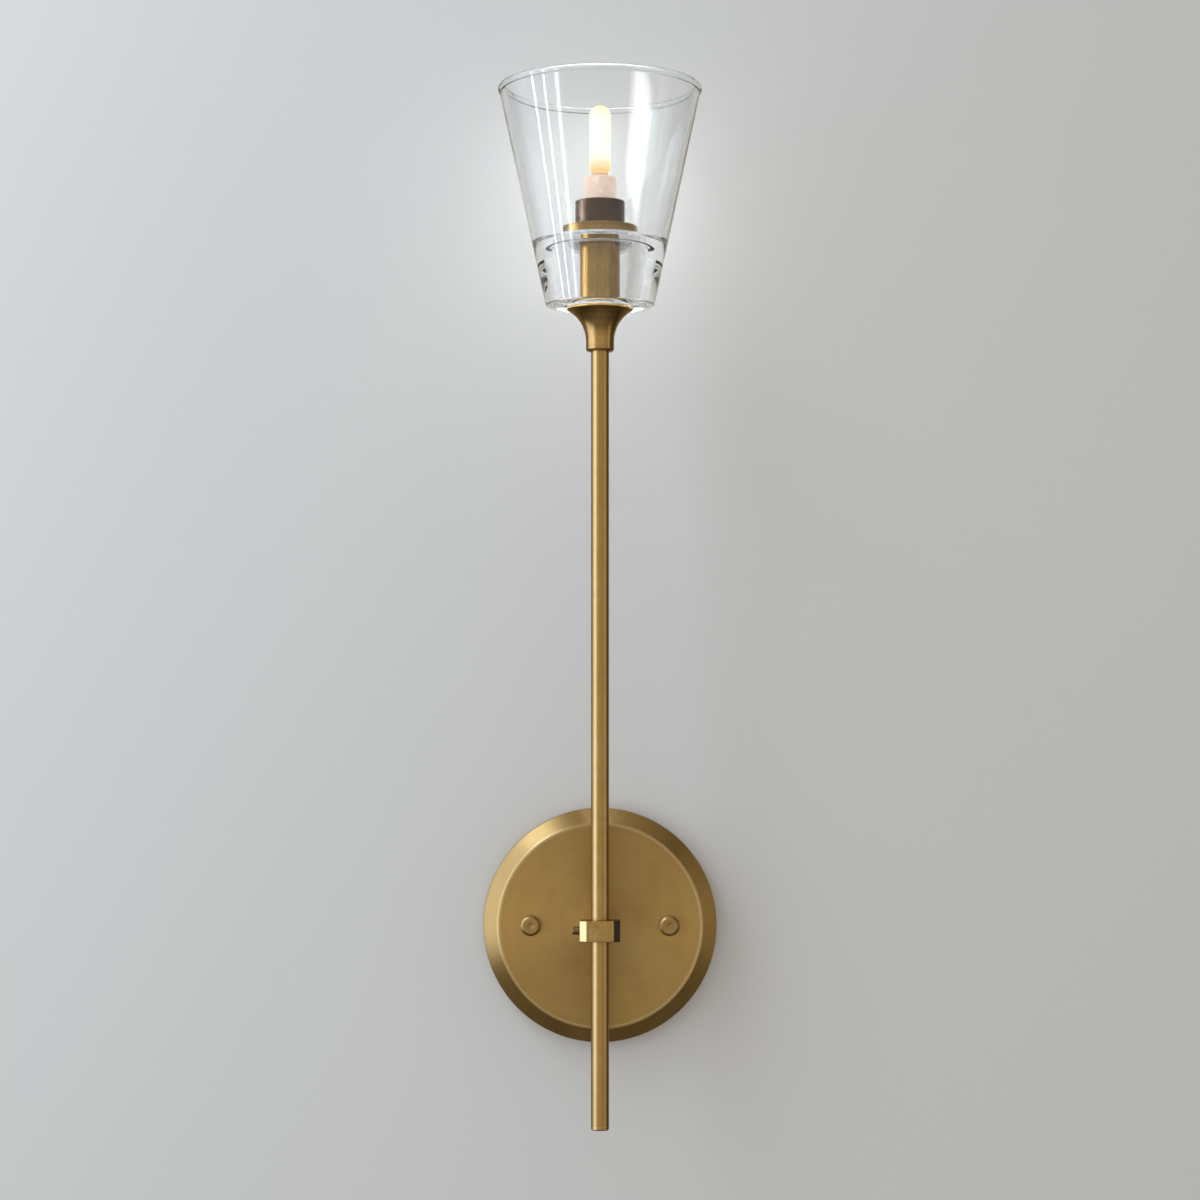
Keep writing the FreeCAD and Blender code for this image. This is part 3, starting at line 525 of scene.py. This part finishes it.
pinch, tree, shader, place = finish_of("pressed lamp foot", Transmission_Weight=0.5, IOR=1.5,
                                       Roughness=0.2)
tone = use(tree, cloudy_tone, Place=place, Patches=500.0, Light=plain((250, 232, 220)),
           Middle=plain((244, 218, 200)), Dark=plain((226, 190, 166)))
tree.links.new(tone.outputs["Colour"], shader.inputs["Base Color"])
dress(pinch, "lamp_base")

nickel, tree, shader, place = finish_of("nickel wire", Metallic=1.0)
marks = use(tree, drawn_lines, Place=place, Stretch=(6000.0, 6000.0, 300.0))
tree.links.new(blend_colours(tree, marks.outputs["Lines"], plain((150, 146, 138)),
                             plain((200, 196, 188))), shader.inputs["Base Color"])
tree.links.new(spread(tree, marks.outputs["Lines"], 0.3, 0.7, 0.2, 0.36),
               shader.inputs["Roughness"])
dress(nickel, "lamp_pins", "lamp_filament")

# ---- Leads ----
# Two wires in silicone insulation, one black and one white. They run from the lampholder
# through the rod and the arm to the terminal block, held all the way.


def insulated(name, light, middle, dark, *nodes):
    """Silicone insulation in three near tones, on the nodes."""
    material, tree, shader, place = finish_of(name, Roughness=0.4)
    tone = use(tree, cloudy_tone, Place=place, Patches=350.0, Light=plain(light),
               Middle=plain(middle), Dark=plain(dark))
    tree.links.new(tone.outputs["Colour"], shader.inputs["Base Color"])
    dress(material, *nodes)


insulated("black insulation", (48, 47, 46), (34, 33, 33), (22, 22, 22), "live_lead")
insulated("white insulation", (224, 222, 216), (212, 210, 203), (190, 187, 180), "neutral_lead")

# ---- Wall, floor and light ----
# The sconce hangs on a plain pale wall over a pale floor. Tall soft lights stand at the left, weak
# ones at the right, and two hang above. Some light only the rod, the glass, the brass in it or
# what the plate holds, and that last one stands behind the wall.
wall_half = 3.0
floor_half = 60.0
floor_height = -0.45
wall_gap = 0.0006


def stage_sheet(name, corners, colour):
    """Flat sheet that only the camera sees, also through the glass, and only from its front."""
    mesh = bpy.data.meshes.new(name)
    mesh.from_pydata(corners, [], [tuple(range(len(corners)))])
    sheet = bpy.data.objects.new(name, mesh)
    bpy.context.scene.collection.objects.link(sheet)
    material = bpy.data.materials.new(name)
    material.use_nodes = True
    tree = material.node_tree
    tree.nodes.remove(tree.nodes["Principled BSDF"])
    path = tree.nodes.new("ShaderNodeLightPath")
    seen = sum_up(tree, "MAXIMUM", path.outputs["Is Camera Ray"],
                  path.outputs["Is Transmission Ray"])
    back = tree.nodes.new("ShaderNodeNewGeometry").outputs["Backfacing"]
    shown = sum_up(tree, "MULTIPLY", seen, sum_up(tree, "SUBTRACT", 1.0, back))
    paint = put(tree, "BsdfDiffuse", Color=colour)
    clear = tree.nodes.new("ShaderNodeBsdfTransparent")
    both = put(tree, "MixShader", _0=shown, _1=clear.outputs[0], _2=paint.outputs[0])
    tree.links.new(both.outputs[0], tree.nodes["Material Output"].inputs["Surface"])
    mesh.materials.append(material)


stage_sheet("pale_wall", [(-wall_half, wall_gap, floor_height), (wall_half, wall_gap, floor_height),
                          (wall_half, wall_gap, wall_half), (-wall_half, wall_gap, wall_half)],
            plain((224, 223, 220)))
stage_sheet("pale_floor", [(x * floor_half, y * floor_half, floor_height)
                           for x, y in ((-1, -1), (1, -1), (1, 1), (-1, 1))],
            plain((246, 245, 241)))

# Bare metal mirrors a room that is lightest in front, dims towards the wall and the floor, and is
# a little lighter straight overhead and straight behind the wall. The camera, and what looks
# through the glass, sees it almost evenly pale.
world = bpy.data.worlds.new("pale room")
bpy.context.scene.world = world
world.use_nodes = True
tree = world.node_tree
path = tree.nodes.new("ShaderNodeLightPath")
way = put(tree, "SeparateXYZ", Vector=tree.nodes.new("ShaderNodeTexCoord").outputs["Generated"])
into_wall = spread(tree, way.outputs[1], -0.85, 0.45, 0.68, 0.06)
behind_wall = spread(tree, way.outputs[1], 0.5, 0.75, 0.0, 0.42)
depth_fall = sum_up(tree, "ADD", into_wall, behind_wall)
right_fall = spread(tree, way.outputs[0], 0.3, 0.9, 1.0, 0.8)
low_fall = spread(tree, way.outputs[2], -0.5, 0.0, 0.35, 1.0)
high_rise = sum_up(tree, "ADD", spread(tree, way.outputs[2], 0.0, 0.5, 1.0, 0.5),
                   spread(tree, way.outputs[2], 0.7, 1.0, 0.0, 0.95))
room = sum_up(tree, "MULTIPLY", sum_up(tree, "MULTIPLY", depth_fall, right_fall),
              sum_up(tree, "MULTIPLY", low_fall, high_rise))
# What stands in the glass is seen through four of its faces, and mirrors the room as bare metal
# does. A glossy ray that only passes through the glass mirrors nothing.
four_faces = sum_up(tree, "GREATER_THAN", path.outputs["Transmission Depth"], 3.5)
in_glass = sum_up(tree, "MULTIPLY", four_faces,
                  sum_up(tree, "GREATER_THAN", path.outputs["Glossy Depth"], 0.5))
turned_back = sum_up(tree, "MULTIPLY", path.outputs["Is Glossy Ray"],
                     path.outputs["Is Reflection Ray"])
mirrored = sum_up(tree, "MAXIMUM", in_glass, turned_back)
on_matt_surfaces = 0.5
beyond_stage = 0.7
pale_above = spread(tree, way.outputs[2], 0.1, 0.6, 0.7, 0.95)
refracted = put(tree, "Mix", _0=path.outputs["Is Transmission Ray"], _2=on_matt_surfaces,
                _3=pale_above).outputs[0]
reflected = put(tree, "Mix", _0=mirrored, _2=refracted, _3=room).outputs[0]
strength = put(tree, "Mix", _0=path.outputs["Is Camera Ray"], _2=reflected,
               _3=beyond_stage).outputs[0]
tree.links.new(strength, tree.nodes["Background"].inputs["Strength"])
warmth = blend_colours(tree, mirrored, (1.0, 1.0, 0.99, 1.0), (1.0, 0.92, 0.74, 1.0))
tree.links.new(blend_colours(tree, path.outputs["Is Diffuse Ray"], warmth, (1.0, 0.97, 0.92, 1.0)),
               tree.nodes["Background"].inputs["Color"])

# Across and upright, a soft box is even up to these shares from its middle, stronger there than
# an even box of the same watts, and fades to nothing at its border.
even_across = 0.2
even_upright = 0.35
middle_strength = 1.3


def soft_light(name, at, width, height, watts, aim_height=0.4, colour=(1.0, 1.0, 1.0), lights=()):
    """Soft box that looks at the rod and fades towards its border. It lights all, or some nodes.

    The camera doesn't see it, nor does what looks through the glass.
    """
    lamp = bpy.data.lights.new(name, "AREA")
    lamp.shape = "RECTANGLE"
    lamp.size, lamp.size_y = width, height
    lamp.energy, lamp.color = watts, colour
    # Rays that leave the glass don't see a lamp, so what stands inside finds its lamp directly.
    lamp.cycles.use_multiple_importance_sampling = "socket_tube" not in lights
    lamp.use_nodes = True
    tree = lamp.node_tree
    spot = tree.nodes.new("ShaderNodeNewGeometry").outputs["Parametric"]
    spot_place = put(tree, "SeparateXYZ", Vector=spot)
    fades = []
    for side, even in ((0, even_across), (1, even_upright)):
        off_middle = sum_up(tree, "SUBTRACT", spot_place.outputs[side], 0.5)
        fades.append(spread(tree, sum_up(tree, "ABSOLUTE", off_middle), even, 0.5,
                            middle_strength, 0.0))
    tree.links.new(sum_up(tree, "MULTIPLY", *fades), tree.nodes["Emission"].inputs["Strength"])
    holder = bpy.data.objects.new(name, lamp)
    bpy.context.scene.collection.objects.link(holder)
    holder.location = at
    aim = Vector((0.0, rod_axis.y, aim_height))
    holder.rotation_euler = (aim - Vector(at)).to_track_quat("-Z", "Y").to_euler()
    holder.visible_camera = holder.visible_transmission = False
    if lights:
        lit = bpy.data.collections.new(name)
        for node in lights:
            lit.objects.link(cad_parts[node])
        holder.light_linking.receiver_collection = lit


daylight = (0.86, 1.0, 1.2)
skylight = (0.76, 1.0, 1.5)
evening = (1.0, 0.88, 0.74)
rod_only = ("rod_tube", "rod_end_plug")
shade_only = ("glass_shade",)
in_the_shade = ("socket_tube", "retaining_ring", "lampholder_sleeve")
in_the_plate = ("mounting_strap", "stud_nuts", "arm_washer", "arm_lock_nut", "terminal_block",
                "terminal_screws", "ground_screw", "ground_lead")
soft_light("key_light", (-1.28, -0.3, 0.6), 2.0, 2.6, 14.5, colour=daylight)
soft_light("key_middle", (-0.95, -0.85, 0.45), 0.5, 2.2, 1.4, colour=daylight)
soft_light("key_above", (-1.0, -0.5, 1.5), 1.0, 0.7, 6.5, aim_height=0.0, colour=daylight)
soft_light("fill_light", (1.4, -0.45, 0.3), 0.3, 1.8, 0.9, colour=evening)
soft_light("rod_strip", (-1.19, -0.58, 0.3), 0.2, 2.0, 1.9, colour=skylight, lights=rod_only)
soft_light("rod_strip_right", (1.25, -0.66, 0.3), 0.2, 2.0, 0.6, colour=evening, lights=rod_only)
soft_light("shade_left", (-1.25, -0.03, 0.35), 0.6, 1.0, 16.0, lights=in_the_shade)
soft_light("glass_strip_far", (-1.28, -0.27, 0.4), 0.1, 1.5, 3.5, lights=shade_only)
soft_light("glass_strip_near", (-1.19, -0.60, 0.4), 0.09, 1.5, 3.5, lights=shade_only)
soft_light("glass_strip_front", (-1.0, -0.91, 0.4), 0.14, 1.5, 3.3, lights=shade_only)
soft_light("glass_right", (1.0, -0.9, 0.27), 0.8, 0.16, 2.4, lights=shade_only)
soft_light("glass_above", (0.0, -0.25, 1.6), 1.8, 0.7, 45.0, aim_height=0.5, lights=shade_only)
soft_light("behind_plate", (-0.4, 1.3, 0.1), 2.4, 1.6, 30.0, aim_height=0.0, lights=in_the_plate)

# ---- Camera ----
# It stands in front of the wall, a little above the plate, and looks slightly up the rod.
# A long lens takes in the whole sconce from just under two metres.
camera_distance = 1.905
camera_height = 0.106
camera_pitch = 3.12
lens_length = 88.02
film_width = 36.0
view = bpy.data.cameras.new("camera")
view.lens = lens_length
view.sensor_width = film_width
camera = bpy.data.objects.new("camera", view)
bpy.context.scene.collection.objects.link(camera)
camera.location = (0.0, -camera_distance, camera_height)
camera.rotation_euler = (math.radians(90 + camera_pitch), 0.0, 0.0)
bpy.context.scene.camera = camera
bpy.context.scene.view_settings.view_transform = "Standard"
# The thick glass base turns light back inside itself many times, and shows black bits where the
# turns run out.
turns_in_glass = 12
passes_in_glass = 24
bpy.context.scene.cycles.glossy_bounces = turns_in_glass
bpy.context.scene.cycles.transmission_bounces = passes_in_glass
bpy.context.scene.cycles.max_bounces = passes_in_glass
